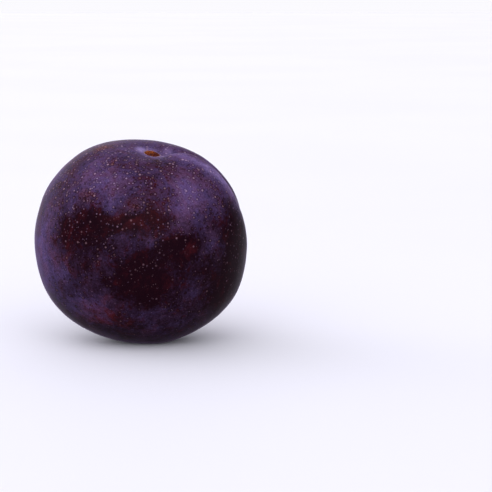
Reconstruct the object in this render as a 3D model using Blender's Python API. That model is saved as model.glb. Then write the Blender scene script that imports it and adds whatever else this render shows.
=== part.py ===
"""A dark dessert plum as picked, without its stem, modelled as one closed solid.

Run with: blender --background --python part.py

Units are metres, +Z is up. The plum lies as it would on a table: its blossom end is turned a little
to the back, and its stem end leans to the front (-Y). The origin is on the surface that it rests on,
under the middle of its box.

The form is worked out in the plum's own frame first. There the stem axis is +Z, the suture (the
furrow from the stem to the blossom end) runs down the side that faces +X, and a point of the skin is
given by its polar angle from the stem and its azimuth from the suture.
"""

import math

import bmesh
import bpy
from mathutils import Matrix, Vector

NAME = "plum"

# Flesh, a slightly squared spheroid.
RADIUS_ALONG_SUTURE = 0.0298
RADIUS_ACROSS_SUTURE = 0.0281
STEM_END_HEIGHT = 0.0288
BLOSSOM_END_HEIGHT = 0.0287
SQUARENESS = 2.12

# Fuller and leaner places of the flesh: azimuth, polar angle and spread in degrees, then height.
SWELLS = (
    (97.0, 30.0, 28.0, -0.0007),
    (45.0, 50.0, 26.0, -0.0007),
    (-19.0, 108.0, 28.0, 0.0010),
    (148.0, 50.0, 28.0, 0.0002),
    (-150.0, 125.0, 30.0, 0.0006),
    (-50.0, 145.0, 30.0, 0.0007),
)

# Hollow round the stem, and the pit that the stem leaves in it.
CAVITY_DEPTH = 0.0020
CAVITY_RADIUS = 0.0080
PIT_RADIUS = 0.0023
PIT_DEPTH = 0.0005
PIT_WALL = 0.0004
PIT_RIM_HEIGHT = 0.00015

# Suture: depth and width near the stem and at the side, and how it curls in to the stem.
SUTURE_DEPTH_STEM = 0.0016
SUTURE_DEPTH_SIDE = 0.0012
SUTURE_WIDTH_STEM = 0.0022
SUTURE_WIDTH_SIDE = 0.0045
SUTURE_CURL = 23.0
SUTURE_CURL_RADIUS = 0.0090
SUTURE_START_RADIUS = 0.0035
SUTURE_SIDE_POLAR = 60.0
SUTURE_WIDE_POLAR = 100.0
SUTURE_FADE = 70.0

# The front cheek is fuller than the back one where it meets the suture, beside the stem.
CHEEK_RISE = 0.0025
CHEEK_REACH = 0.0140
CHEEK_START = 0.0036
CHEEK_WIDENING = 0.8
CHEEK_POLAR = 24.0
CHEEK_SPREAD = 24.0

# Dimple at the blossom end, with the small point that the flower leaves.
DIMPLE_DEPTH = 0.0007
DIMPLE_RADIUS = 0.0035
POINT_HEIGHT = 0.0003
POINT_RADIUS = 0.0008

# How the plum lies: the turn of its suture to the back, the lean of its stem to the front and to
# the right, and how much of the underside is flat where it rests.
SUTURE_TURN = 10.0
LEAN_FRONT = 18.5
LEAN_RIGHT = 8.5
REST_FLAT_DEPTH = 0.0006

# Mesh: longitudes and latitudes, and how far they crowd at the suture and at both ends.
LONGITUDES = 72
LATITUDES = 54
CROWD_AT_SUTURE = 0.40
CROWD_AT_ENDS = 0.75
SHARP_ANGLE = 40.0

SKIN_COLOUR = (0.045, 0.022, 0.048, 1.0)
SKIN_ROUGHNESS = 0.38


def bell(distance, width):
    """A smooth hump of height 1 at distance 0, falling off over the width."""
    return math.exp(-((distance / width) ** 2))


def direction(polar, azimuth):
    """The unit vector at a polar angle from the stem and an azimuth from the suture."""
    flat = math.sin(polar)
    return Vector((flat * math.cos(azimuth), flat * math.sin(azimuth), math.cos(polar)))


def flesh_radius(polar, azimuth):
    """Distance from the centre to the squared spheroid, with the fuller places added."""
    along = math.cos(azimuth) / RADIUS_ALONG_SUTURE
    across = math.sin(azimuth) / RADIUS_ACROSS_SUTURE
    height = STEM_END_HEIGHT if polar < math.pi / 2 else BLOSSOM_END_HEIGHT
    flat_part = (math.sin(polar) * math.hypot(along, across)) ** SQUARENESS
    tall_part = (abs(math.cos(polar)) / height) ** SQUARENESS
    radius = (flat_part + tall_part) ** (-1.0 / SQUARENESS)
    ray = direction(polar, azimuth)
    for swell_azimuth, swell_polar, spread, rise in SWELLS:
        middle = direction(math.radians(swell_polar), math.radians(swell_azimuth))
        radius += rise * bell(ray.angle(middle), math.radians(spread))
    return radius


def suture_relief(polar, azimuth, reach):
    """Height of the furrow and of the cheek in front of it, at a reach from the stem axis."""
    curl = math.radians(SUTURE_CURL) * bell(reach, SUTURE_CURL_RADIUS)
    turn = math.remainder(azimuth - curl, 2.0 * math.pi)
    ahead = reach * math.cos(turn)
    beside = reach * math.sin(max(-math.pi / 2, min(math.pi / 2, turn)))
    down_side = min(1.0, polar / math.radians(SUTURE_SIDE_POLAR))
    widening = min(1.0, polar / math.radians(SUTURE_WIDE_POLAR))
    depth = SUTURE_DEPTH_STEM + (SUTURE_DEPTH_SIDE - SUTURE_DEPTH_STEM) * down_side
    width = SUTURE_WIDTH_STEM + (SUTURE_WIDTH_SIDE - SUTURE_WIDTH_STEM) * widening
    strength = 1.0 - bell(reach, SUTURE_START_RADIUS)
    strength *= bell(max(0.0, polar - math.radians(SUTURE_SIDE_POLAR)), math.radians(SUTURE_FADE))
    strength *= bell(min(0.0, ahead), PIT_RADIUS)
    furrow = depth * bell(beside, width)
    cheek = CHEEK_RISE * (1.0 - bell(min(0.0, beside), width)) * bell(beside, CHEEK_REACH)
    cheek *= 1.0 - bell(max(0.0, ahead), math.hypot(CHEEK_START, CHEEK_WIDENING * beside))
    cheek *= bell(polar - math.radians(CHEEK_POLAR), math.radians(CHEEK_SPREAD))
    return strength * (cheek - furrow)


def end_relief(polar, reach):
    """Height of what is round either end: the cavity and pit, or the dimple and its point."""
    if polar > math.pi / 2:
        return POINT_HEIGHT * bell(reach, POINT_RADIUS) - DIMPLE_DEPTH * bell(reach, DIMPLE_RADIUS)
    cavity = -CAVITY_DEPTH * bell(reach, CAVITY_RADIUS)
    pit = -PIT_DEPTH / (1.0 + math.exp((reach - PIT_RADIUS) / (0.5 * PIT_WALL)))
    rim = PIT_RIM_HEIGHT * bell(reach - PIT_RADIUS - PIT_WALL, PIT_WALL)
    return cavity + pit + rim


def skin_point(polar, azimuth):
    """A point of the skin in the plum's own frame."""
    radius = flesh_radius(polar, azimuth)
    reach = radius * math.sin(polar)
    radius += suture_relief(polar, azimuth, reach) + end_relief(polar, reach)
    return radius * direction(polar, azimuth)


def shape_skin(mesh):
    """Move a unit sphere's vertices to the skin, crowding them at the suture and at both ends."""
    for vertex in mesh.verts:
        share = math.acos(max(-1.0, min(1.0, vertex.co.z))) / math.pi
        polar = math.pi * share - 0.5 * CROWD_AT_ENDS * math.sin(2.0 * math.pi * share)
        azimuth = math.atan2(vertex.co.y, vertex.co.x)
        azimuth -= CROWD_AT_SUTURE * math.sin(azimuth)
        vertex.co = skin_point(polar, azimuth)


def lay_down(mesh):
    """Turn the plum to how it lies, cut its resting flat and set it over the origin."""
    lean = Matrix.Rotation(math.radians(LEAN_RIGHT), 4, "Y")
    lean = lean @ Matrix.Rotation(math.radians(LEAN_FRONT), 4, "X")
    lean = lean @ Matrix.Rotation(math.radians(SUTURE_TURN), 4, "Z")
    bmesh.ops.transform(mesh, matrix=lean, verts=mesh.verts)
    floor = min(vertex.co.z for vertex in mesh.verts) + REST_FLAT_DEPTH
    cut = bmesh.ops.bisect_plane(
        mesh,
        geom=mesh.verts[:] + mesh.edges[:] + mesh.faces[:],
        plane_co=(0.0, 0.0, floor),
        plane_no=(0.0, 0.0, -1.0),
        clear_outer=True,
    )
    rim = [item for item in cut["geom_cut"] if isinstance(item, bmesh.types.BMEdge)]
    bmesh.ops.edgenet_fill(mesh, edges=rim)
    middle_x = 0.5 * (min(v.co.x for v in mesh.verts) + max(v.co.x for v in mesh.verts))
    middle_y = 0.5 * (min(v.co.y for v in mesh.verts) + max(v.co.y for v in mesh.verts))
    bmesh.ops.translate(mesh, vec=(-middle_x, -middle_y, -floor), verts=mesh.verts)
    bmesh.ops.recalc_face_normals(mesh, faces=mesh.faces)


def skin_material():
    """Plain dark purple skin."""
    material = bpy.data.materials.new("plum_skin")
    material.use_nodes = True
    shader = material.node_tree.nodes["Principled BSDF"]
    shader.inputs["Base Color"].default_value = SKIN_COLOUR
    shader.inputs["Roughness"].default_value = SKIN_ROUGHNESS
    shader.inputs["Metallic"].default_value = 0.0
    return material


def build_plum(collection):
    """Make the plum's object and put it in the collection."""
    shape = bmesh.new()
    bmesh.ops.create_uvsphere(shape, u_segments=LONGITUDES, v_segments=LATITUDES, radius=1.0)
    shape_skin(shape)
    lay_down(shape)
    mesh = bpy.data.meshes.new(NAME)
    shape.to_mesh(mesh)
    shape.free()
    mesh.shade_smooth()
    mesh.set_sharp_from_angle(angle=math.radians(SHARP_ANGLE))
    plum = bpy.data.objects.new(NAME, mesh)
    plum.data.materials.append(skin_material())
    collection.objects.link(plum)
    return plum


def main():
    """Clear the scene's objects and build the plum in a collection of its own."""
    for old in list(bpy.data.objects):
        bpy.data.objects.remove(old, do_unlink=True)
    collection = bpy.data.collections.new(NAME)
    bpy.context.scene.collection.children.link(collection)
    build_plum(collection)


main()
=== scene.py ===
"""A dark dessert plum with its skin, its stem scar and a plain studio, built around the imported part."""

import logging
import math
from dataclasses import dataclass
from enum import Enum

import bpy
import numpy as np
from mathutils import Matrix, Vector

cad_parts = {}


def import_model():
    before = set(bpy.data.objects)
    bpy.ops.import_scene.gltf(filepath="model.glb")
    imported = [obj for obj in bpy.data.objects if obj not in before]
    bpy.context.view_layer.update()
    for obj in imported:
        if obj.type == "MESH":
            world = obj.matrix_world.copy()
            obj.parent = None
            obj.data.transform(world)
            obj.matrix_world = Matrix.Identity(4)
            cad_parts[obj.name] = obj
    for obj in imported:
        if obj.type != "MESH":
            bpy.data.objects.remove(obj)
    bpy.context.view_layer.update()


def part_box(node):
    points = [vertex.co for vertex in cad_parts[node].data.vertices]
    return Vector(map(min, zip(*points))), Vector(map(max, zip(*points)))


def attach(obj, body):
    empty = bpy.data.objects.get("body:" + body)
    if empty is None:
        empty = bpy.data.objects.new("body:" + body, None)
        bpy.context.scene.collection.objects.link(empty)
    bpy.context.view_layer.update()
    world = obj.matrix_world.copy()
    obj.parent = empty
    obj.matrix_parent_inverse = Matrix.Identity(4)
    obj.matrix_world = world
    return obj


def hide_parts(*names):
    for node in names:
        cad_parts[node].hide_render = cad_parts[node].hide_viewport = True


LOG = logging.getLogger("plum")
BODY = "root"
NODE = "plum"
CREST_LAYER = "crest"

MM = 1000.0  # millimetres in a metre
USUAL_RADIUS = 0.0285  # metres from the middle to the skin
FARTHEST = 200.0  # where a bump has long faded to nothing
STEEPEST = 40.0  # where the wall of the pit has long ended
SURVEY = (361, 721)  # points along and around the form, when its box is measured
COLOUR_INPUTS = (6, 7)  # the two colours of a mix node
COLOUR_OUTPUT = 2  # the mixed colour of a mix node

Socket = bpy.types.NodeSocket
Value = float | Socket
Colour = tuple[float, float, float]
Inputs = dict[str | int, object]


def bell(distance: np.ndarray, width: float | np.ndarray) -> np.ndarray:
    """Returns a smooth bump of height 1 at distance 0, which fades over the given width."""
    return np.exp(-np.clip((distance / width) ** 2, 0.0, FARTHEST))


def towards(side: float, height: float) -> Vector:
    """Works out a direction from the middle of the plum as it lies.

    Args:
        side: Degrees around the vertical, 0 at the front and 90 at the right.
        height: Degrees above the level of the middle.

    Returns:
        A vector of length 1.
    """
    around, up = math.radians(side), math.radians(height)
    return Vector((math.sin(around) * math.cos(up), -math.cos(around) * math.cos(up), math.sin(up)))


class End(Enum):
    """The ends of the plum's stem axis, each with its polar angle in radians."""

    STEM = 0.0
    BLOSSOM = math.pi


@dataclass(frozen=True)
class Swell:
    """A fuller or leaner place of the flesh: where it is and how wide, in degrees, and its height."""

    azimuth: float
    polar: float
    spread: float
    rise: float


@dataclass(frozen=True)
class PlumForm:
    """The form of the plum in its own frame: +Z is the stem axis and +X the side of the suture.

    Lengths are in metres and angles in degrees. The methods take a polar angle from the stem end and
    an azimuth from the side of the suture, both in radians, and a reach from the stem axis in metres.
    """

    along_suture: float = 0.0298
    across_suture: float = 0.0281
    stem_end: float = 0.0288
    blossom_end: float = 0.0287
    squareness: float = 2.12
    swells: tuple[Swell, ...] = (
        Swell(97.0, 30.0, 28.0, -0.0007),
        Swell(45.0, 50.0, 26.0, -0.0007),
        Swell(-19.0, 108.0, 28.0, 0.0010),
        Swell(148.0, 50.0, 28.0, 0.0002),
        Swell(-150.0, 125.0, 30.0, 0.0006),
        Swell(-50.0, 145.0, 30.0, 0.0007),
    )
    cavity_depth: float = 0.0020
    cavity_radius: float = 0.0080
    pit_radius: float = 0.0023
    pit_depth: float = 0.0005
    pit_wall: float = 0.0004
    pit_rim: float = 0.00015
    suture_depth: tuple[float, float] = (0.0016, 0.0012)
    suture_width: tuple[float, float] = (0.0022, 0.0045)
    suture_curl: float = 23.0
    curl_radius: float = 0.0090
    suture_start: float = 0.0035
    side_polar: float = 60.0
    wide_polar: float = 100.0
    suture_fade: float = 70.0
    cheek_rise: float = 0.0025
    cheek_reach: float = 0.0140
    cheek_start: float = 0.0036
    cheek_widening: float = 0.8
    cheek_polar: float = 24.0
    cheek_spread: float = 24.0
    dimple_depth: float = 0.0007
    dimple_radius: float = 0.0035
    point_height: float = 0.0003
    point_radius: float = 0.0008
    suture_turn: float = 10.0
    lean_front: float = 18.5
    lean_right: float = 8.5

    def direction(self, polar: np.ndarray, azimuth: np.ndarray) -> np.ndarray:
        """Returns vectors of length 1, one row for each pair of angles."""
        flat = np.sin(polar)
        return np.stack([flat * np.cos(azimuth), flat * np.sin(azimuth), np.cos(polar)], axis=-1)

    def flesh_radius(self, polar: np.ndarray, azimuth: np.ndarray) -> np.ndarray:
        """Works out the distance from the middle to the skin, before its furrow and its two ends.

        Args:
            polar: The polar angles.
            azimuth: The azimuths.

        Returns:
            The distance for each pair of angles.
        """
        flat = np.hypot(np.cos(azimuth) / self.along_suture, np.sin(azimuth) / self.across_suture)
        height = np.where(polar < math.pi / 2, self.stem_end, self.blossom_end)
        power = self.squareness
        inverse = (np.sin(polar) * flat) ** power + (abs(np.cos(polar)) / height) ** power
        radius = inverse ** (-1.0 / power)
        rays = self.direction(polar, azimuth)
        for swell in self.swells:
            middle = self.direction(np.radians(swell.polar), np.radians(swell.azimuth))
            angle = np.arccos(np.clip(rays @ middle, -1.0, 1.0))
            radius = radius + swell.rise * bell(angle, math.radians(swell.spread))
        return radius

    def from_suture(self, azimuth: np.ndarray, reach: np.ndarray) -> tuple[np.ndarray, np.ndarray]:
        """Measures places against the curling line of the suture.

        Args:
            azimuth: The azimuths.
            reach: The distances from the stem axis.

        Returns:
            How far each place lies ahead along the line, and how far beside it.
        """
        turn = azimuth - math.radians(self.suture_curl) * bell(reach, self.curl_radius)
        turn = (turn + math.pi) % (2.0 * math.pi) - math.pi
        return reach * np.cos(turn), reach * np.sin(np.clip(turn, -math.pi / 2, math.pi / 2))

    def suture_width_at(self, polar: np.ndarray) -> np.ndarray:
        """Returns the width of the suture, which grows from the stem down the side."""
        widening = np.minimum(1.0, polar / math.radians(self.wide_polar))
        return self.suture_width[0] + (self.suture_width[1] - self.suture_width[0]) * widening

    def cheek(self, polar: np.ndarray, ahead: np.ndarray, beside: np.ndarray) -> np.ndarray:
        """Works out how far the fuller cheek beside the suture moves the skin out.

        Args:
            polar: The polar angles.
            ahead: How far each place lies ahead along the suture.
            beside: How far each place lies beside the suture.

        Returns:
            The rise at each place.
        """
        near_side = bell(np.minimum(0.0, beside), self.suture_width_at(polar))
        rise = self.cheek_rise * (1.0 - near_side) * bell(beside, self.cheek_reach)
        start = np.hypot(self.cheek_start, self.cheek_widening * beside)
        rise = rise * (1.0 - bell(np.maximum(0.0, ahead), start))
        return rise * bell(polar - math.radians(self.cheek_polar), math.radians(self.cheek_spread))

    def suture_relief(self, polar: np.ndarray, azimuth: np.ndarray, reach: np.ndarray) -> np.ndarray:
        """Works out how far the suture and the cheek beside it move the skin out.

        Args:
            polar: The polar angles.
            azimuth: The azimuths.
            reach: The distances from the stem axis.

        Returns:
            The relief at each place.
        """
        ahead, beside = self.from_suture(azimuth, reach)
        down_side = np.minimum(1.0, polar / math.radians(self.side_polar))
        depth = self.suture_depth[0] + (self.suture_depth[1] - self.suture_depth[0]) * down_side
        furrow = depth * bell(beside, self.suture_width_at(polar))
        past_side = np.maximum(0.0, polar - math.radians(self.side_polar))
        strength = 1.0 - bell(reach, self.suture_start)
        strength = strength * bell(past_side, math.radians(self.suture_fade))
        strength = strength * bell(np.minimum(0.0, ahead), self.pit_radius)
        return strength * (self.cheek(polar, ahead, beside) - furrow)

    def end_relief(self, polar: np.ndarray, reach: np.ndarray) -> np.ndarray:
        """Works out how far the stem cavity with its pit, and the blossom end, move the skin out.

        Args:
            polar: The polar angles.
            reach: The distances from the stem axis.

        Returns:
            The relief at each place.
        """
        blossom = self.point_height * bell(reach, self.point_radius)
        blossom = blossom - self.dimple_depth * bell(reach, self.dimple_radius)
        past_wall = np.clip((reach - self.pit_radius) / (0.5 * self.pit_wall), -STEEPEST, STEEPEST)
        stem = self.pit_rim * bell(reach - self.pit_radius - self.pit_wall, self.pit_wall)
        stem = stem - self.cavity_depth * bell(reach, self.cavity_radius)
        stem = stem - self.pit_depth / (1.0 + np.exp(past_wall))
        return np.where(polar > math.pi / 2, blossom, stem)

    def skin_points(self, polar: np.ndarray, azimuth: np.ndarray) -> np.ndarray:
        """Works out points of the skin in the plum's own frame.

        Args:
            polar: The polar angles.
            azimuth: The azimuths.

        Returns:
            The points, one row for each pair of angles.
        """
        radius = self.flesh_radius(polar, azimuth)
        reach = radius * np.sin(polar)
        radius = radius + self.suture_relief(polar, azimuth, reach) + self.end_relief(polar, reach)
        return radius[..., None] * self.direction(polar, azimuth)

    def lean(self) -> Matrix:
        """Works out how the plum leans.

        Returns:
            The turn from the plum's own frame to the way it lies.
        """
        turn = Matrix.Rotation(math.radians(self.suture_turn), 3, "Z")
        front = Matrix.Rotation(math.radians(self.lean_front), 3, "X")
        return Matrix.Rotation(math.radians(self.lean_right), 3, "Y") @ front @ turn


@dataclass(frozen=True)
class Placing:
    """How the plum lies on the floor: its turn, then its shift, with the skin flat where it rests."""

    turn: np.ndarray
    shift: np.ndarray

    @classmethod
    def on_part(cls, form: PlumForm, low: Vector, high: Vector) -> "Placing":
        """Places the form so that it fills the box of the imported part.

        Args:
            form: The form of the plum.
            low: The lowest corner of the part's box.
            high: The highest corner of the part's box.

        Returns:
            The placing.
        """
        polar = np.linspace(0.0, math.pi, SURVEY[0])
        azimuth = np.linspace(-math.pi, math.pi, SURVEY[1])
        polar, azimuth = np.meshgrid(polar, azimuth)
        turn = np.array(form.lean())
        points = form.skin_points(polar.ravel(), azimuth.ravel()) @ turn.T
        shift = np.array((low + high) / 2) - (points.min(axis=0) + points.max(axis=0)) / 2
        shift[2] = high.z - points[:, 2].max()
        return cls(turn, shift)

    def place(self, points: np.ndarray) -> np.ndarray:
        """Lays points of the plum's own frame on the floor.

        Args:
            points: Points, one in each row.

        Returns:
            The points as they lie, with the resting place pressed flat.
        """
        placed = points @ self.turn.T + self.shift
        placed[:, 2] = np.maximum(placed[:, 2], 0.0)
        return placed

    def end_point(self, form: PlumForm, end: End) -> Vector:
        """Returns the middle of an end of the plum, on its skin."""
        return Vector(self.place(form.skin_points(np.full(1, end.value), np.zeros(1)))[0])


@dataclass(frozen=True)
class Waves:
    """A soft, uneven relief of plain waves in seeded directions: its usual size and height in metres."""

    size: float
    height: float
    seed: int
    count: int = 14
    shortest: float = 0.7
    longest: float = 1.5

    def at(self, points: np.ndarray) -> np.ndarray:
        """Adds up the waves.

        Args:
            points: Points, one in each row.

        Returns:
            The height of the relief at each point.
        """
        draw = np.random.default_rng(self.seed)
        ways = draw.normal(size=(self.count, 3))
        ways /= np.linalg.norm(ways, axis=1, keepdims=True)
        lengths = self.size * draw.uniform(self.shortest, self.longest, self.count)
        phases = draw.uniform(0.0, 2.0 * math.pi, self.count)
        waves = np.sin(points @ (2.0 * math.pi * ways / lengths[:, None]).T + phases)
        return self.height * waves.sum(axis=1) / math.sqrt(self.count)


def make_mesh(name: str, points: np.ndarray, columns: int, closed_end: bool) -> bpy.types.Object:
    """Makes a smooth mesh from one point at the pole and rings of points around it.

    Args:
        name: The name of the new object.
        points: The pole, the rings from the pole outward and, if closed, the far pole.
        columns: How many points each ring has.
        closed_end: Whether the last point is the far pole.

    Returns:
        The new object.
    """
    rings = (len(points) - 1 - int(closed_end)) // columns
    here = np.arange(columns)
    following = (here + 1) % columns
    faces = [(0, 1 + a, 1 + b) for a, b in zip(here, following)]
    for ring in range(rings - 1):
        near, far = 1 + ring * columns, 1 + (ring + 1) * columns
        faces.extend(zip(near + here, far + here, far + following, near + following))
    if closed_end:
        last, pole = 1 + (rings - 1) * columns, len(points) - 1
        faces.extend((pole, last + b, last + a) for a, b in zip(here, following))
    mesh = bpy.data.meshes.new(name)
    mesh.from_pydata(points.tolist(), [], [tuple(int(i) for i in face) for face in faces])
    mesh.shade_smooth()
    piece = bpy.data.objects.new(name, mesh)
    bpy.context.scene.collection.objects.link(piece)
    return piece


@dataclass(frozen=True)
class Ramp:
    """A smooth step from low, where a value is at start, to high, where it is at end."""

    start: float
    end: float
    low: float = 0.0
    high: float = 1.0


@dataclass(frozen=True)
class Cloud:
    """A cloudy noise about 0.5: the size of its clouds, in the unit of the place, and how fine it is."""

    size: float
    detail: float
    rough: float


class Graph:
    """A short way of writing a tree of shader nodes."""

    def __init__(self, tree: bpy.types.NodeTree) -> None:
        """Starts with an empty tree."""
        self.tree = tree
        tree.nodes.clear()

    @classmethod
    def for_material(cls, name: str) -> tuple[bpy.types.Material, "Graph"]:
        """Makes a new material.

        Args:
            name: The name of the material.

        Returns:
            The material and its empty graph.
        """
        material = bpy.data.materials.new(name)
        material.use_nodes = True
        return material, cls(material.node_tree)

    def node(self, kind: str, inputs: Inputs | None = None, **settings: object) -> bpy.types.Node:
        """Adds a node.

        Args:
            kind: The node's type.
            inputs: Values or output sockets for its inputs, by name or by number.
            **settings: Properties of the node itself.

        Returns:
            The new node.
        """
        node = self.tree.nodes.new(kind)
        for name, value in settings.items():
            setattr(node, name, value)
        for key, value in (inputs or {}).items():
            if isinstance(value, Socket):
                self.tree.links.new(value, node.inputs[key])
            else:
                node.inputs[key].default_value = value
        return node

    def places(self) -> Socket:
        """Returns the place on the object, in the object's own unit."""
        return self.node("ShaderNodeTexCoord").outputs["Object"]

    def math(self, operation: str, *values: Value) -> Socket:
        """Returns the result of a sum on one to three numbers."""
        return self.node("ShaderNodeMath", dict(enumerate(values)), operation=operation).outputs[0]

    def vector(self, operation: str, *values: Socket | Colour) -> Socket:
        """Returns the result of a sum on vectors, as a vector or a number."""
        node = self.node("ShaderNodeVectorMath", dict(enumerate(values)), operation=operation)
        return node.outputs["Value" if operation in ("LENGTH", "DOT_PRODUCT", "DISTANCE") else "Vector"]

    def scaled(self, vector: Socket | Colour, scale: Value) -> Socket:
        """Returns the vector times a number."""
        node = self.node("ShaderNodeVectorMath", {0: vector, "Scale": scale}, operation="SCALE")
        return node.outputs["Vector"]

    def add(self, total: Value, value: Value, share: float = 1.0) -> Socket:
        """Returns the total plus a share of the value."""
        return self.math("MULTIPLY_ADD", value, share, total)

    def sway(self, total: Value, noise: Socket, share: float) -> Socket:
        """Returns the total, moved up and down by a share of a noise about 0.5."""
        return self.math("MULTIPLY_ADD", noise, share, self.math("SUBTRACT", total, 0.5 * share))

    def between(self, share: Value, ends: tuple[float, float]) -> Socket:
        """Returns the number that lies between two ends, by a share from 0 to 1."""
        return self.math("MULTIPLY_ADD", share, ends[1] - ends[0], ends[0])

    def step(self, value: Value, start: Value, end: Value, low: float = 0.0, high: float = 1.0) -> Socket:
        """Returns a smooth step from low, where the value is at start, to high, where it is at end."""
        inputs = {"Value": value, "From Min": start, "From Max": end, "To Min": low, "To Max": high}
        return self.node("ShaderNodeMapRange", inputs, interpolation_type="SMOOTHSTEP").outputs["Result"]

    def ramp(self, value: Value, ramp: Ramp) -> Socket:
        """Returns the smooth step that a ramp describes."""
        return self.step(value, ramp.start, ramp.end, ramp.low, ramp.high)

    def noise(self, place: Socket, cloud: Cloud) -> Socket:
        """Returns a cloudy noise."""
        inputs = {"Scale": 1.0 / cloud.size, "Detail": cloud.detail, "Roughness": cloud.rough}
        return self.node("ShaderNodeTexNoise", {"Vector": place, **inputs}).outputs["Fac"]

    def blend(self, share: Value, first: Socket | Colour, second: Socket | Colour) -> Socket:
        """Mixes two colours.

        Args:
            share: How much of the second colour there is, from 0 to 1.
            first: The colour where the share is 0.
            second: The colour where the share is 1.

        Returns:
            The mixed colour.
        """
        node = self.node("ShaderNodeMix", {0: share}, data_type="RGBA", clamp_factor=True)
        for key, colour in zip(COLOUR_INPUTS, (first, second)):
            if isinstance(colour, Socket):
                self.tree.links.new(colour, node.inputs[key])
            else:
                node.inputs[key].default_value = (*colour, 1.0)
        return node.outputs[COLOUR_OUTPUT]

    def surface(self, inputs: Inputs) -> None:
        """Ends the tree with a surface shader that has the given inputs."""
        shader = self.node("ShaderNodeBsdfPrincipled", inputs)
        self.node("ShaderNodeOutputMaterial", {"Surface": shader.outputs[0]})

    def bump(self, relief: Socket, strength: float) -> Socket:
        """Returns the bent normal of a relief in millimetres."""
        inputs = {"Strength": strength, "Distance": 1.0 / MM, "Height": relief}
        return self.node("ShaderNodeBump", inputs).outputs[0]


@dataclass(frozen=True)
class Patch:
    """A place on the skin: where it is in degrees as the plum lies, its reach in mm and its strength."""

    side: float
    height: float
    reach: tuple[float, float, float]
    strength: float


@dataclass(frozen=True)
class DotLayer:
    """A layer of skin dots, with lengths in millimetres: one dot in each cell, and some left out.

    Each dot draws its size and its strength between two ends. The ramps run over the height above
    the floor, and one whose low and high are the same holds at each height.
    """

    spacing: float
    sizes: tuple[float, float]
    strengths: tuple[float, float]
    kept: Ramp
    kept_edge: float
    strengthening: Ramp
    growth: Ramp = Ramp(0.0, 1.0, 1.0, 1.0)
    core: float = 0.25


class Dots:
    """The skin dots of one layer in a graph."""

    def __init__(self, graph: Graph, layer: DotLayer, place: Socket, height: Socket) -> None:
        """Scatters the dots.

        Args:
            graph: The graph of the skin.
            layer: What the dots are like.
            place: The place on the skin in millimetres.
            height: The height above the floor in millimetres.
        """
        inputs = {"Vector": place, "Scale": 1.0 / layer.spacing}
        cells = graph.node("ShaderNodeTexVoronoi", inputs, feature="F1")
        draws = graph.node("ShaderNodeSeparateColor", {"Color": cells.outputs["Color"]}).outputs
        self.graph = graph
        self.layer = layer
        self.away = cells.outputs["Distance"]
        self.draw = draws[0]
        size = graph.between(self.draw, layer.sizes)
        self.size = graph.math("MULTIPLY", size, graph.ramp(height, layer.growth))
        kept = graph.ramp(height, layer.kept)
        self.kept = graph.step(draws[1], kept, graph.math("SUBTRACT", kept, layer.kept_edge))
        strength = graph.between(draws[2], layer.strengths)
        self.strength = graph.math("MULTIPLY", strength, graph.ramp(height, layer.strengthening))

    def cover(self) -> Socket:
        """Works out where the dots are.

        Returns:
            How strongly a dot covers each place.
        """
        core = self.graph.math("MULTIPLY", self.size, self.layer.core)
        dots = self.graph.math("MULTIPLY", self.graph.step(self.away, self.size, core), self.kept)
        return self.graph.math("MULTIPLY", dots, self.strength)

    def rings(self, width: float) -> Socket:
        """Returns how strongly a dark ring of the given width around a dot covers each place."""
        rings = self.graph.step(self.away, self.graph.math("ADD", self.size, width), self.size)
        return self.graph.math("MULTIPLY", rings, self.kept)


@dataclass(frozen=True)
class Ground:
    """What the layers of the skin share in a graph: places and the height in millimetres, and noises."""

    place: Socket
    warped: Socket
    height: Socket
    mottle: Socket
    grain: Socket
    crest: Socket


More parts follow.
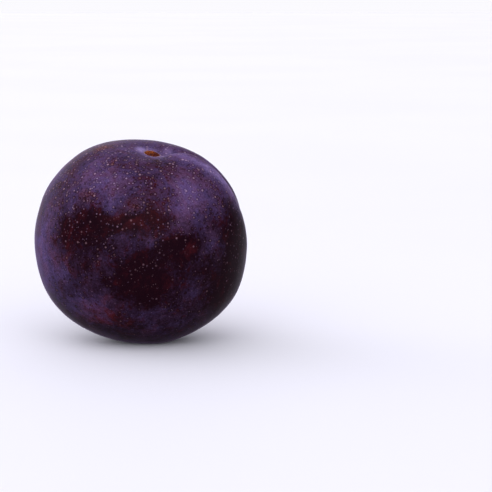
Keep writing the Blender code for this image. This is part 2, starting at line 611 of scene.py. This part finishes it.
@dataclass(frozen=True)
class SkinFinish:
    """The dark skin with its waxy bloom, worn reddish places, pale dots and freckles, and painted
    highlights and shade.

    Cloud sizes are in millimetres, and a ramp with "height" in its name runs over the height above
    the floor in millimetres.
    """

    middle: Vector
    scar: Vector
    tip: Vector
    deep: Colour = (0.0076, 0.00125, 0.0036)
    red: Colour = (0.044, 0.0048, 0.0075)
    bloom: Colour = (0.178, 0.116, 0.330)
    mauve: Colour = (0.232, 0.116, 0.268)
    # Pale lilac of the thickest bloom, also the colour of the painted highlight along the crest.
    thick: Colour = (0.270, 0.200, 0.425)
    dot_bare: Colour = (0.228, 0.140, 0.232)
    dot_tan: Colour = (0.265, 0.145, 0.175)
    dot_rusty: Colour = (0.480, 0.200, 0.190)
    dot_bloomed: Colour = (0.390, 0.285, 0.520)
    rust: Colour = (0.390, 0.165, 0.180)
    dry_tip: Colour = (0.120, 0.055, 0.030)
    # Bloom patches; some also carry painted highlights and painted rim light, as marked below.
    bloom_and_highlight_patches: tuple[Patch, ...] = (
        # Painted rim light along the left edge, over real bloom.
        Patch(-65.0, -5.0, (9.5, 13.0, 15.0), 0.85),
        # Painted highlight on the upper left shoulder, over real bloom.
        Patch(-28.0, 42.0, (10.0, 11.0, 9.0), 0.42),
        Patch(-85.0, 38.0, (12.0, 12.0, 10.0), 0.40),
        # Painted highlight on the upper right shoulder, over real bloom.
        Patch(33.0, 30.0, (9.0, 10.0, 8.5), 0.62),
        # Bloom on the far bank of the furrow, with painted rim light along the right shoulder.
        Patch(80.0, 42.0, (8.0, 13.0, 9.0), 0.60),
        Patch(48.0, 54.0, (6.0, 8.0, 6.0), 0.40),
        Patch(75.0, 62.0, (6.0, 7.0, 6.0), 0.30),
        # Bloom on the top, with painted light there.
        Patch(8.0, 74.0, (16.0, 12.0, 6.0), 0.50),
        Patch(-34.0, -34.0, (12.0, 9.0, 7.0), 0.45),
        Patch(28.0, -40.0, (12.0, 9.0, 6.0), 0.15),
        Patch(50.0, -3.0, (4.0, 8.0, 7.0), 0.25),
        Patch(4.0, 2.0, (7.0, 8.0, 6.0), 0.17),
        Patch(150.0, 25.0, (20.0, 16.0, 16.0), 0.60),
        Patch(-150.0, -10.0, (18.0, 16.0, 20.0), 0.60),
        Patch(110.0, -30.0, (14.0, 14.0, 14.0), 0.35),
    )
    # Worn places with less bloom; the two on the right flank are painted shade.
    worn_and_shade_patches: tuple[Patch, ...] = (
        Patch(2.0, -12.0, (10.0, 12.0, 8.0), 0.80),
        Patch(-30.0, 14.0, (13.0, 11.0, 7.0), 0.52),
        Patch(0.0, 18.0, (10.0, 8.0, 4.5), 0.46),
        Patch(-18.0, 19.0, (6.0, 8.0, 4.0), 0.25),
        Patch(27.0, 4.0, (8.0, 12.0, 4.5), 0.55),
        # Painted shade on the right flank, with less bloom.
        Patch(72.0, 10.0, (7.0, 13.0, 11.0), 0.65),
        Patch(72.0, -20.0, (12.0, 14.0, 12.0), 0.75),
        Patch(170.0, -25.0, (12.0, 12.0, 10.0), 0.70),
    )
    red_patches: tuple[Patch, ...] = (
        Patch(-22.0, -38.0, (9.0, 9.0, 6.0), 0.70),
        Patch(-45.0, 4.0, (10.0, 10.0, 10.0), 0.35),
        Patch(30.0, 3.0, (4.0, 8.0, 3.0), 0.60),
        Patch(10.0, 20.0, (10.0, 10.0, 10.0), 0.25),
        Patch(160.0, -30.0, (14.0, 12.0, 10.0), 0.60),
    )
    freckles: tuple[Patch, ...] = (
        Patch(-54.0, 66.0, (4.4, 2.8, 2.2), 1.00),
        Patch(-22.0, 53.0, (1.4, 2.4, 1.8), 0.50),
        Patch(-33.0, 31.0, (2.4, 4.0, 2.6), 0.30),
        Patch(0.0, 26.0, (1.8, 4.0, 1.4), 0.30),
    )
    thick_patches: tuple[Patch, ...] = (
        Patch(4.0, 74.0, (1.9, 2.4, 2.3), 1.20),
        Patch(56.0, 70.0, (2.0, 2.4, 3.0), 0.60),
    )
    patch_edge: float = 1.25
    large_dots: DotLayer = DotLayer(
        spacing=1.12,
        sizes=(0.19, 0.38),
        strengths=(0.18, 0.62),
        kept=Ramp(8.0, 50.0, 0.26, 1.0),
        kept_edge=0.05,
        strengthening=Ramp(20.0, 54.0, 0.44, 1.40),
        growth=Ramp(36.0, 54.0, 1.0, 1.28),
    )
    small_dots: DotLayer = DotLayer(
        spacing=0.80,
        sizes=(0.17, 0.25),
        strengths=(0.08, 0.38),
        kept=Ramp(0.0, 1.0, 0.60, 0.60),
        kept_edge=0.10,
        strengthening=Ramp(14.0, 54.0, 0.95, 1.30),
    )
    ring_width: float = 0.20
    warp_scale: float = 0.11
    warp_detail: float = 4.0
    warp_reach: float = 12.0
    clouds: Cloud = Cloud(7.0, 5.0, 0.6)
    hue_clouds: Cloud = Cloud(5.0, 3.0, 0.5)
    red_clouds: Cloud = Cloud(3.2, 5.0, 0.7)
    drift: Cloud = Cloud(2.0, 6.0, 0.75)
    mottle: Cloud = Cloud(1.8, 4.0, 0.65)
    mottle_stretch: tuple[float, float, float] = (1.0, 1.0, 0.6)
    specks: Cloud = Cloud(0.85, 2.0, 0.6)
    grain: Cloud = Cloud(0.40, 3.0, 0.6)
    # Bloom grows towards the top, partly real bloom and partly painted light on the upper side.
    bloom_and_top_light_by_height: Ramp = Ramp(22.0, 48.0, 0.09, 0.42)
    bloom_shares: tuple[float, float, float, float] = (1.0, 0.45, 0.5, 0.4)
    bloom_at_rings: float = -0.28
    bloom_and_highlight_at_crest: float = 0.50
    bloom_ramp: Ramp = Ramp(-0.15, 1.45)
    bloom_on_red: Ramp = Ramp(0.1, 0.9, 0.0, -0.15)
    bloom_on_rust: float = -0.3
    veil_by_hue: Ramp = Ramp(0.40, 0.65, 0.0, 0.8)
    veil_by_grain: Ramp = Ramp(0.25, 0.75, 0.42, 0.62)
    red_level: float = 0.05
    red_cloud_share: float = 2.2
    red_by_height: Ramp = Ramp(28.0, 52.0, 0.0, 0.30)
    red_mottle_share: float = 0.8
    red_at_rust: float = 0.6
    red_ramp: Ramp = Ramp(0.0, 1.2)
    thick_bloom_and_highlight_at_crest: float = 0.75
    thick_by_scar: Ramp = Ramp(5.0, 2.8, 0.0, 0.35)
    thick_by_drift: Ramp = Ramp(0.38, 0.62, 0.25, 0.80)
    thick_by_grain: Ramp = Ramp(0.25, 0.65, 0.70, 1.0)
    rust_by_grain: Ramp = Ramp(0.50, 0.62, 0.0, 0.60)
    tan_by_draw: Ramp = Ramp(0.5, 1.0)
    tip_waves: float = 0.8
    tip_ramp: Ramp = Ramp(1.0, 0.6)
    roughness: tuple[float, float] = (0.36, 0.62)
    rough_by_grain: Ramp = Ramp(0.3, 0.7, -0.04, 0.04)
    rough_at_dots: float = 0.15
    dot_rise: float = 0.03
    grain_rise: float = 0.02
    mottle_rise: float = 0.05
    bump_strength: float = 0.6
    specular: float = 0.008
    sheen: float = 0.16
    sheen_roughness: float = 0.22
    sheen_tint: Colour = (0.75, 0.52, 0.95)
    coat: float = 0.05
    coat_roughness: float = 0.15
    coat_ior: float = 1.3

    def coverage(self, graph: Graph, place: Socket, patches: tuple[Patch, ...]) -> Value:
        """Adds up how strongly a list of patches covers each place.

        Args:
            graph: The graph of the skin.
            place: The place on the skin in millimetres.
            patches: The patches.

        Returns:
            The sum of what the patches give there.
        """
        total: Value = 0.0
        for patch in patches:
            centre = MM * (self.middle + USUAL_RADIUS * towards(patch.side, patch.height))
            away = graph.vector("SUBTRACT", place, tuple(centre))
            away = graph.vector("LENGTH", graph.vector("DIVIDE", away, patch.reach))
            total = graph.math("ADD", total, graph.step(away, self.patch_edge, 0.0, 0.0, patch.strength))
        return total

    def ground(self, graph: Graph) -> Ground:
        """Makes what the layers of the skin share.

        Args:
            graph: The graph of the skin.

        Returns:
            The places, the height and the shared noises.
        """
        place = graph.scaled(graph.places(), MM)
        inputs = {"Vector": place, "Scale": self.warp_scale, "Detail": self.warp_detail}
        warp = graph.node("ShaderNodeTexNoise", inputs).outputs["Color"]
        warp = graph.scaled(graph.vector("SUBTRACT", warp, (0.5, 0.5, 0.5)), self.warp_reach)
        return Ground(
            place=place,
            warped=graph.vector("ADD", place, warp),
            height=graph.node("ShaderNodeSeparateXYZ", {"Vector": place}).outputs["Z"],
            mottle=graph.noise(graph.vector("MULTIPLY", place, self.mottle_stretch), self.mottle),
            grain=graph.noise(place, self.grain),
            crest=graph.node("ShaderNodeAttribute", attribute_name=CREST_LAYER).outputs["Fac"],
        )

    def redness(self, graph: Graph, ground: Ground, rust: Socket) -> Socket:
        """Works out where the bare skin is reddish.

        Args:
            graph: The graph of the skin.
            ground: What the layers share.
            rust: How strongly the freckles cover each place.

        Returns:
            The redness at each place.
        """
        redness = graph.add(self.coverage(graph, ground.warped, self.red_patches), self.red_level)
        redness = graph.sway(redness, graph.noise(ground.warped, self.red_clouds), self.red_cloud_share)
        redness = graph.add(redness, graph.ramp(ground.height, self.red_by_height))
        redness = graph.sway(redness, ground.mottle, self.red_mottle_share)
        return graph.add(redness, rust, self.red_at_rust)

    def bloom_and_painted_light(
        self, graph: Graph, ground: Ground, rings: Socket, redness: Socket, rust: Socket
    ) -> Socket:
        """Works out where the waxy bloom lies, with its painted highlights and painted shade.

        Args:
            graph: The graph of the skin.
            ground: What the layers share.
            rings: How strongly the dark rings around the dots cover each place.
            redness: The redness at each place.
            rust: How strongly the freckles cover each place.

        Returns:
            How thick the bloom is at each place, from 0 to 1, painted highlights and shade included.
        """
        bloom_and_painted_light = self.coverage(graph, ground.warped, self.bloom_and_highlight_patches)
        bloom_and_painted_light = graph.add(bloom_and_painted_light, graph.ramp(ground.height, self.bloom_and_top_light_by_height))
        # Take bloom away at worn places and at the painted shade on the right flank.
        bloom_and_painted_light = graph.add(bloom_and_painted_light, self.coverage(graph, ground.warped, self.worn_and_shade_patches), -1.0)
        clouds, specks = graph.noise(ground.warped, self.clouds), graph.noise(ground.place, self.specks)
        for noise, share in zip((clouds, ground.mottle, ground.grain, specks), self.bloom_shares):
            bloom_and_painted_light = graph.sway(bloom_and_painted_light, noise, share)
        bloom_and_painted_light = graph.add(bloom_and_painted_light, rings, self.bloom_at_rings)
        # The crest line adds bloom and a painted highlight.
        bloom_and_painted_light = graph.add(bloom_and_painted_light, ground.crest, self.bloom_and_highlight_at_crest)
        bloom_and_painted_light = graph.ramp(bloom_and_painted_light, self.bloom_ramp)
        bloom_and_painted_light = graph.add(bloom_and_painted_light, graph.ramp(redness, self.bloom_on_red))
        return graph.math("MAXIMUM", graph.add(bloom_and_painted_light, rust, self.bloom_on_rust), 0.0)

    def thickened(self, graph: Graph, ground: Ground) -> Socket:
        """Works out where the bloom is thickest: around the scar, and beside the suture, where it also
        paints a highlight along the crest.

        Args:
            graph: The graph of the skin.
            ground: What the layers share.

        Returns:
            How strongly the thickest bloom covers each place.
        """
        to_scar = graph.vector("DISTANCE", ground.place, tuple(MM * self.scar))
        thick = graph.add(graph.ramp(to_scar, self.thick_by_scar), ground.crest, self.thick_bloom_and_highlight_at_crest)
        drift = graph.ramp(graph.noise(ground.warped, self.drift), self.thick_by_drift)
        thick = graph.math("MULTIPLY", thick, drift)
        thick = graph.add(thick, self.coverage(graph, ground.place, self.thick_patches))
        return graph.math("MULTIPLY", thick, graph.ramp(ground.grain, self.thick_by_grain))

    def veiled(
        self, graph: Graph, ground: Ground, redness: Socket, bloom_and_painted_light: Socket, rust: Socket
    ) -> Socket:
        """Colours the skin with its bloom, painted highlights and shade, and freckles, but without its
        dots.

        Args:
            graph: The graph of the skin.
            ground: What the layers share.
            redness: The redness at each place.
            bloom_and_painted_light: How thick the bloom and its painted light are at each place.
            rust: How strongly the freckles cover each place.

        Returns:
            The colour at each place.
        """
        colour = graph.blend(graph.ramp(redness, self.red_ramp), self.deep, self.red)
        hue = graph.ramp(graph.noise(ground.warped, self.hue_clouds), self.veil_by_hue)
        cover = graph.math("MULTIPLY", bloom_and_painted_light, graph.ramp(ground.grain, self.veil_by_grain))
        colour = graph.blend(cover, colour, graph.blend(hue, self.bloom, self.mauve))
        colour = graph.blend(self.thickened(graph, ground), colour, self.thick)
        rusty = graph.math("MULTIPLY", rust, graph.ramp(ground.grain, self.rust_by_grain))
        return graph.blend(rusty, colour, self.rust)

    def build(self) -> bpy.types.Material:
        """Makes the finish, from the bare skin up to the dots.

        Returns:
            The material of the skin.
        """
        material, graph = Graph.for_material("plum_skin")
        ground = self.ground(graph)
        large = Dots(graph, self.large_dots, ground.place, ground.height)
        small = Dots(graph, self.small_dots, ground.place, ground.height)
        dots = large.cover()
        rust = self.coverage(graph, ground.place, self.freckles)
        redness = self.redness(graph, ground, rust)
        bloom_and_painted_light = self.bloom_and_painted_light(graph, ground, large.rings(self.ring_width), redness, rust)

        colour = self.veiled(graph, ground, redness, bloom_and_painted_light, rust)
        colour = graph.blend(small.cover(), colour, graph.blend(bloom_and_painted_light, self.dot_tan, self.dot_bloomed))
        dot_colour = graph.blend(graph.ramp(large.draw, self.tan_by_draw), self.dot_bare, self.dot_tan)
        dot_colour = graph.blend(bloom_and_painted_light, dot_colour, self.dot_bloomed)
        colour = graph.blend(dots, colour, graph.blend(rust, dot_colour, self.dot_rusty))
        to_tip = graph.vector("DISTANCE", ground.place, tuple(MM * self.tip))
        to_tip = graph.sway(to_tip, ground.grain, self.tip_waves)
        colour = graph.blend(graph.ramp(to_tip, self.tip_ramp), colour, self.dry_tip)

        roughness = graph.between(bloom_and_painted_light, self.roughness)
        roughness = graph.add(roughness, graph.ramp(ground.grain, self.rough_by_grain))
        roughness = graph.add(roughness, dots, self.rough_at_dots)
        relief = graph.add(graph.math("MULTIPLY", ground.grain, self.grain_rise), dots, self.dot_rise)
        relief = graph.add(relief, ground.mottle, self.mottle_rise)
        graph.surface(
            {
                "Base Color": colour,
                "Roughness": roughness,
                "Normal": graph.bump(relief, self.bump_strength),
                "Specular IOR Level": self.specular,
                "Sheen Weight": self.sheen,
                "Sheen Roughness": self.sheen_roughness,
                "Sheen Tint": (*self.sheen_tint, 1.0),
                "Coat Weight": self.coat,
                "Coat Roughness": self.coat_roughness,
                "Coat IOR": self.coat_ior,
            }
        )
        return material


@dataclass(frozen=True)
class ScarFinish:
    """The corky, fibrous scar where the stem came off, brightest at its back left. Sizes are in mm."""

    centre: Vector
    bright: Colour = (0.36, 0.092, 0.020)
    brown: Colour = (0.085, 0.014, 0.006)
    dark: Colour = (0.030, 0.006, 0.005)
    edge: Colour = (0.36, 0.240, 0.280)
    fibres: Cloud = Cloud(1.0, 4.0, 0.65)
    fibre_squeeze: tuple[float, float, float] = (3.2, 0.7, 0.7)
    blotches: Cloud = Cloud(0.9, 3.0, 0.6)
    brightness: float = 0.22
    brightening: tuple[float, float, float] = (-0.22, 0.12, 0.0)
    blotch_share: float = 1.4
    bright_ramp: Ramp = Ramp(0.0, 1.0)
    dark_ramp: Ramp = Ramp(0.60, 0.40, 0.0, 0.9)
    edge_ramp: Ramp = Ramp(2.25, 2.6)
    edge_waves: float = 0.3
    fibre_rise: float = 0.12
    blotch_rise: float = 0.1
    bump_strength: float = 0.8
    roughness: Ramp = Ramp(0.35, 0.65, 0.65, 0.85)
    specular: float = 0.02

    def build(self) -> bpy.types.Material:
        """Makes the finish.

        Returns:
            The material of the scar.
        """
        material, graph = Graph.for_material("stem_scar")
        place = graph.vector("SUBTRACT", graph.scaled(graph.places(), MM), tuple(MM * self.centre))
        fibres = graph.noise(graph.vector("MULTIPLY", place, self.fibre_squeeze), self.fibres)
        blotches = graph.noise(place, self.blotches)
        light = graph.math("ADD", graph.vector("DOT_PRODUCT", place, self.brightening), self.brightness)
        light = graph.sway(light, blotches, self.blotch_share)
        colour = graph.blend(graph.ramp(light, self.bright_ramp), self.brown, self.bright)
        colour = graph.blend(graph.ramp(fibres, self.dark_ramp), colour, self.dark)
        away = graph.add(graph.vector("LENGTH", place), blotches, self.edge_waves)
        colour = graph.blend(graph.ramp(away, self.edge_ramp), colour, self.edge)
        relief = graph.add(graph.math("MULTIPLY", fibres, self.fibre_rise), blotches, self.blotch_rise)
        graph.surface(
            {
                "Base Color": colour,
                "Roughness": graph.ramp(fibres, self.roughness),
                "Normal": graph.bump(relief, self.bump_strength),
                "Specular IOR Level": self.specular,
            }
        )
        return material


@dataclass(frozen=True)
class Crest:
    """The pale line beside the suture at one polar angle in degrees: bloom with a painted highlight.

    Its offset and its spread are in widths of the suture.
    """

    polar: float
    offset: float
    spread: float
    strength: float


@dataclass
class Skin:
    """The whole skin of the plum, with its furrow, its stem cavity and its blossom end."""

    form: PlumForm
    placing: Placing
    finish: SkinFinish
    columns: int = 400
    rings: int = 230
    crowd_at_suture: float = 0.40
    crowd_at_ends: float = 0.75
    waves: tuple[Waves, ...] = (Waves(0.016, 0.00010, 3), Waves(0.005, 0.00002, 8))
    # Where the pale line along the crest lies: bloom with a painted highlight.
    crests: tuple[Crest, ...] = (
        Crest(8.0, 0.90, 0.40, 0.50),
        Crest(14.0, 1.60, 0.40, 0.40),
        Crest(20.0, 2.25, 0.40, 0.50),
        Crest(27.0, 2.25, 0.42, 0.65),
        Crest(32.0, 2.10, 0.52, 1.10),
        Crest(44.0, 1.60, 0.72, 1.20),
        Crest(56.0, 1.70, 0.80, 0.65),
        Crest(68.0, 1.70, 0.80, 0.00),
    )
    crest_gap: float = 0.0030
    crest_back: float = 0.0020

    def angles(self) -> tuple[np.ndarray, np.ndarray]:
        """Spreads points over the plum, closer together at its two ends and along its suture.

        Returns:
            The polar angles and the azimuths of the stem end, the rings and the blossom end.
        """
        share = np.arange(1, self.rings + 1) / (self.rings + 1)
        polar = math.pi * share - 0.5 * self.crowd_at_ends * np.sin(2.0 * math.pi * share)
        azimuth = np.linspace(-math.pi, math.pi, self.columns, endpoint=False)
        azimuth = azimuth - self.crowd_at_suture * np.sin(azimuth)
        polar, azimuth = np.meshgrid(polar, azimuth, indexing="ij")
        polar = np.concatenate([[0.0], polar.ravel(), [math.pi]])
        azimuth = np.concatenate([[0.0], azimuth.ravel(), [0.0]])
        return polar, azimuth

    def points(self, polar: np.ndarray, azimuth: np.ndarray) -> np.ndarray:
        """Works out the points of the skin with its soft waves.

        Args:
            polar: The polar angles in radians.
            azimuth: The azimuths in radians.

        Returns:
            The points as they lie, one row for each pair of angles.
        """
        away = self.form.direction(polar, azimuth)
        relief = sum(waves.at(away * USUAL_RADIUS) for waves in self.waves)
        return self.placing.place(self.form.skin_points(polar, azimuth) + away * relief[:, None])

    def crest(self, polar: np.ndarray, azimuth: np.ndarray) -> np.ndarray:
        """Works out where the pale line beside the suture is: bloom with a painted highlight.

        Args:
            polar: The polar angles in radians.
            azimuth: The azimuths in radians.

        Returns:
            The strength of the line at each place.
        """
        reach = self.form.flesh_radius(polar, azimuth) * np.sin(polar)
        ahead, beside = self.form.from_suture(azimuth, reach)
        width = self.form.suture_width_at(polar)
        rows = np.array([(at.polar, at.offset, at.spread, at.strength) for at in self.crests]).T
        offset, spread, strength = (np.interp(np.degrees(polar), rows[0], row) for row in rows[1:])
        line = bell(beside + offset * width, spread * width) * strength
        return line * (1.0 - bell(reach, self.crest_gap)) * bell(np.minimum(0.0, ahead), self.crest_back)

    def build(self) -> bpy.types.Object:
        """Builds the skin, riding on the part and standing for its node.

        Returns:
            The skin.
        """
        polar, azimuth = self.angles()
        piece = make_mesh("plum_skin", self.points(polar, azimuth), self.columns, True)
        layer = piece.data.attributes.new(CREST_LAYER, "FLOAT", "POINT")
        layer.data.foreach_set("value", self.crest(polar, azimuth).astype(np.float32))
        piece.data.materials.append(self.finish.build())
        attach(piece, BODY)
        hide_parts(NODE)
        return piece


@dataclass
class StemScar:
    """The corky floor of the pit in the stem cavity: a low dome with a hollow in its middle."""

    form: PlumForm
    placing: Placing
    finish: ScarFinish
    radius: float = 0.0026
    from_middle: float = 0.0266
    lift: float = 0.00034
    edge_drop: float = 1.6
    edge_power: int = 8
    hollow_depth: float = 0.00012
    hollow_radius: float = 0.0006
    fibres: Waves = Waves(0.0011, 0.00004, 5)
    fibre_squeeze: tuple[float, float, float] = (3.0, 1.0, 1.0)
    columns: int = 120
    rings: int = 50

    def points(self) -> np.ndarray:
        """Works out the points of the scar.

        Returns:
            The points as they lie: its middle and then its rings.
        """
        reach = self.radius * np.arange(1, self.rings + 1) / self.rings
        azimuth = np.linspace(-math.pi, math.pi, self.columns, endpoint=False)
        reach, azimuth = np.meshgrid(reach, azimuth, indexing="ij")
        reach = np.concatenate([[0.0], reach.ravel()])
        azimuth = np.concatenate([[0.0], azimuth.ravel()])
        points = self.form.skin_points(np.arcsin(reach / self.from_middle), azimuth)
        floor = self.lift * (1.0 - (reach / self.radius) ** self.edge_power * self.edge_drop)
        floor = floor + self.fibres.at(points * self.fibre_squeeze)
        points[:, 2] += floor - self.hollow_depth * bell(reach, self.hollow_radius)
        return self.placing.place(points)

    def build(self) -> bpy.types.Object:
        """Builds the scar, riding on the part.

        Returns:
            The scar.
        """
        piece = make_mesh("stem_scar", self.points(), self.columns, False)
        piece.data.materials.append(self.finish.build())
        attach(piece, BODY)
        return piece


@dataclass(frozen=True)
class Glow:
    """A broad, soft light far away: where it is in degrees, how tight it is, and its colour.

    A colour below zero takes light away, like a dark cloth beside the plum.
    """

    side: float
    height: float
    tightness: float
    colour: Colour


@dataclass
class Studio:
    """A plain pale floor under plain soft light, and the camera. Lengths are in metres."""

    middle: Vector
    floor_colour: Colour = (0.853, 0.871, 0.912)
    floor_shade: float = 0.985
    floor_clouds: Cloud = Cloud(0.4, 2.0, 0.5)
    floor_ramp: Ramp = Ramp(0.4, 0.6)
    floor_roughness: float = 0.7
    floor_specular: float = 0.1
    floor_reach: float = 8.0
    backdrop: Colour = (0.968, 0.959, 0.998)
    fill: Colour = (0.36, 0.345, 0.385)
    glows: tuple[Glow, ...] = (
        Glow(0.0, 90.0, 1.5, (0.22, 0.215, 0.225)),
        Glow(0.0, 10.0, 3.0, (1.75, 1.71, 1.83)),
        Glow(0.0, 35.0, 6.0, (0.95, 0.93, 0.98)),
        Glow(-95.0, 45.0, 5.0, (0.65, 0.63, 0.70)),
        Glow(-115.0, 12.0, 12.0, (1.60, 1.50, 1.70)),
        Glow(-160.0, 15.0, 5.0, (1.10, 1.07, 1.17)),
        Glow(160.0, 15.0, 5.0, (0.20, 0.195, 0.21)),
        Glow(95.0, 0.0, 5.0, (-0.30, -0.29, -0.31)),
    )
    distance: float = 0.55
    elevation: float = 7.5
    frame_width: float = 0.1392
    plum_left_by: float = 0.0297
    aim_below_middle: float = 0.0016
    sensor_width: float = 36.0
    nearest: float = 0.01

    def floor_finish(self) -> bpy.types.Material:
        """Makes the finish of the floor.

        Returns:
            The material of the floor.
        """
        material, graph = Graph.for_material("floor")
        shade = tuple(self.floor_shade * part for part in self.floor_colour)
        cloud = graph.ramp(graph.noise(graph.places(), self.floor_clouds), self.floor_ramp)
        graph.surface(
            {
                "Base Color": graph.blend(cloud, self.floor_colour, shade),
                "Roughness": self.floor_roughness,
                "Specular IOR Level": self.floor_specular,
            }
        )
        return material

    def build_floor(self) -> bpy.types.Object:
        """Builds the floor.

        Returns:
            The floor.
        """
        mesh = bpy.data.meshes.new("floor")
        reach = self.floor_reach
        corners = [(x * reach, y * reach, 0.0) for x, y in ((-1, -1), (1, -1), (1, 1), (-1, 1))]
        mesh.from_pydata(corners, [], [(0, 1, 2, 3)])
        mesh.materials.append(self.floor_finish())
        floor = bpy.data.objects.new("floor", mesh)
        bpy.context.scene.collection.objects.link(floor)
        return floor

    def build_light(self) -> None:
        """Lights the scene from all around, most of all from the front and the left."""
        world = bpy.data.worlds.new("studio")
        world.use_nodes = True
        graph = Graph(world.node_tree)
        way = graph.vector("NORMALIZE", graph.node("ShaderNodeTexCoord").outputs["Generated"])
        light = self.fill
        for glow in self.glows:
            facing = graph.vector("DOT_PRODUCT", way, tuple(towards(glow.side, glow.height)))
            share = graph.math("POWER", graph.math("MAXIMUM", facing, 0.0), glow.tightness)
            light = graph.vector("ADD", light, graph.scaled(glow.colour, share))
        seen = graph.node("ShaderNodeLightPath").outputs["Is Camera Ray"]
        light = graph.blend(seen, light, self.backdrop)
        shader = graph.node("ShaderNodeBackground", {"Color": light, "Strength": 1.0})
        graph.node("ShaderNodeOutputWorld", {"Surface": shader.outputs[0]})
        bpy.context.scene.world = world

    def build_camera(self) -> bpy.types.Object:
        """Sets up the camera, which looks a little down on the plum.

        Returns:
            The camera.
        """
        tilt = math.radians(self.elevation)
        looking = Vector((0.0, math.cos(tilt), -math.sin(tilt)))
        upward = Vector((0.0, math.sin(tilt), math.cos(tilt)))
        target = self.middle + Vector((self.plum_left_by, 0.0, 0.0)) - self.aim_below_middle * upward
        data = bpy.data.cameras.new("camera")
        data.sensor_width = self.sensor_width
        data.lens = self.sensor_width * self.distance / self.frame_width
        data.clip_start = self.nearest
        camera = bpy.data.objects.new("camera", data)
        camera.location = target - self.distance * looking
        camera.rotation_euler = looking.to_track_quat("-Z", "Y").to_euler()
        bpy.context.scene.collection.objects.link(camera)
        return camera

    def build(self) -> None:
        """Sets up the floor, the light and the camera."""
        self.build_floor()
        self.build_light()
        bpy.context.scene.camera = self.build_camera()
        bpy.context.scene.view_settings.view_transform = "Standard"


def main() -> None:
    """Builds every piece, then the studio."""
    logging.basicConfig(level=logging.INFO, format="%(message)s")
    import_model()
    low, high = (Vector(corner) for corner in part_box(NODE))
    middle = Vector((0.0, 0.0, (low.z + high.z) / 2))
    form = PlumForm()
    placing = Placing.on_part(form, low, high)
    scar, tip = (placing.end_point(form, end) for end in (End.STEM, End.BLOSSOM))
    for piece in (
        Skin(form, placing, SkinFinish(middle, scar, tip)).build(),
        StemScar(form, placing, ScarFinish(scar)).build(),
    ):
        LOG.info("%s: %d faces", piece.name, len(piece.data.polygons))
    Studio(middle).build()


if __name__ == "__main__":
    main()
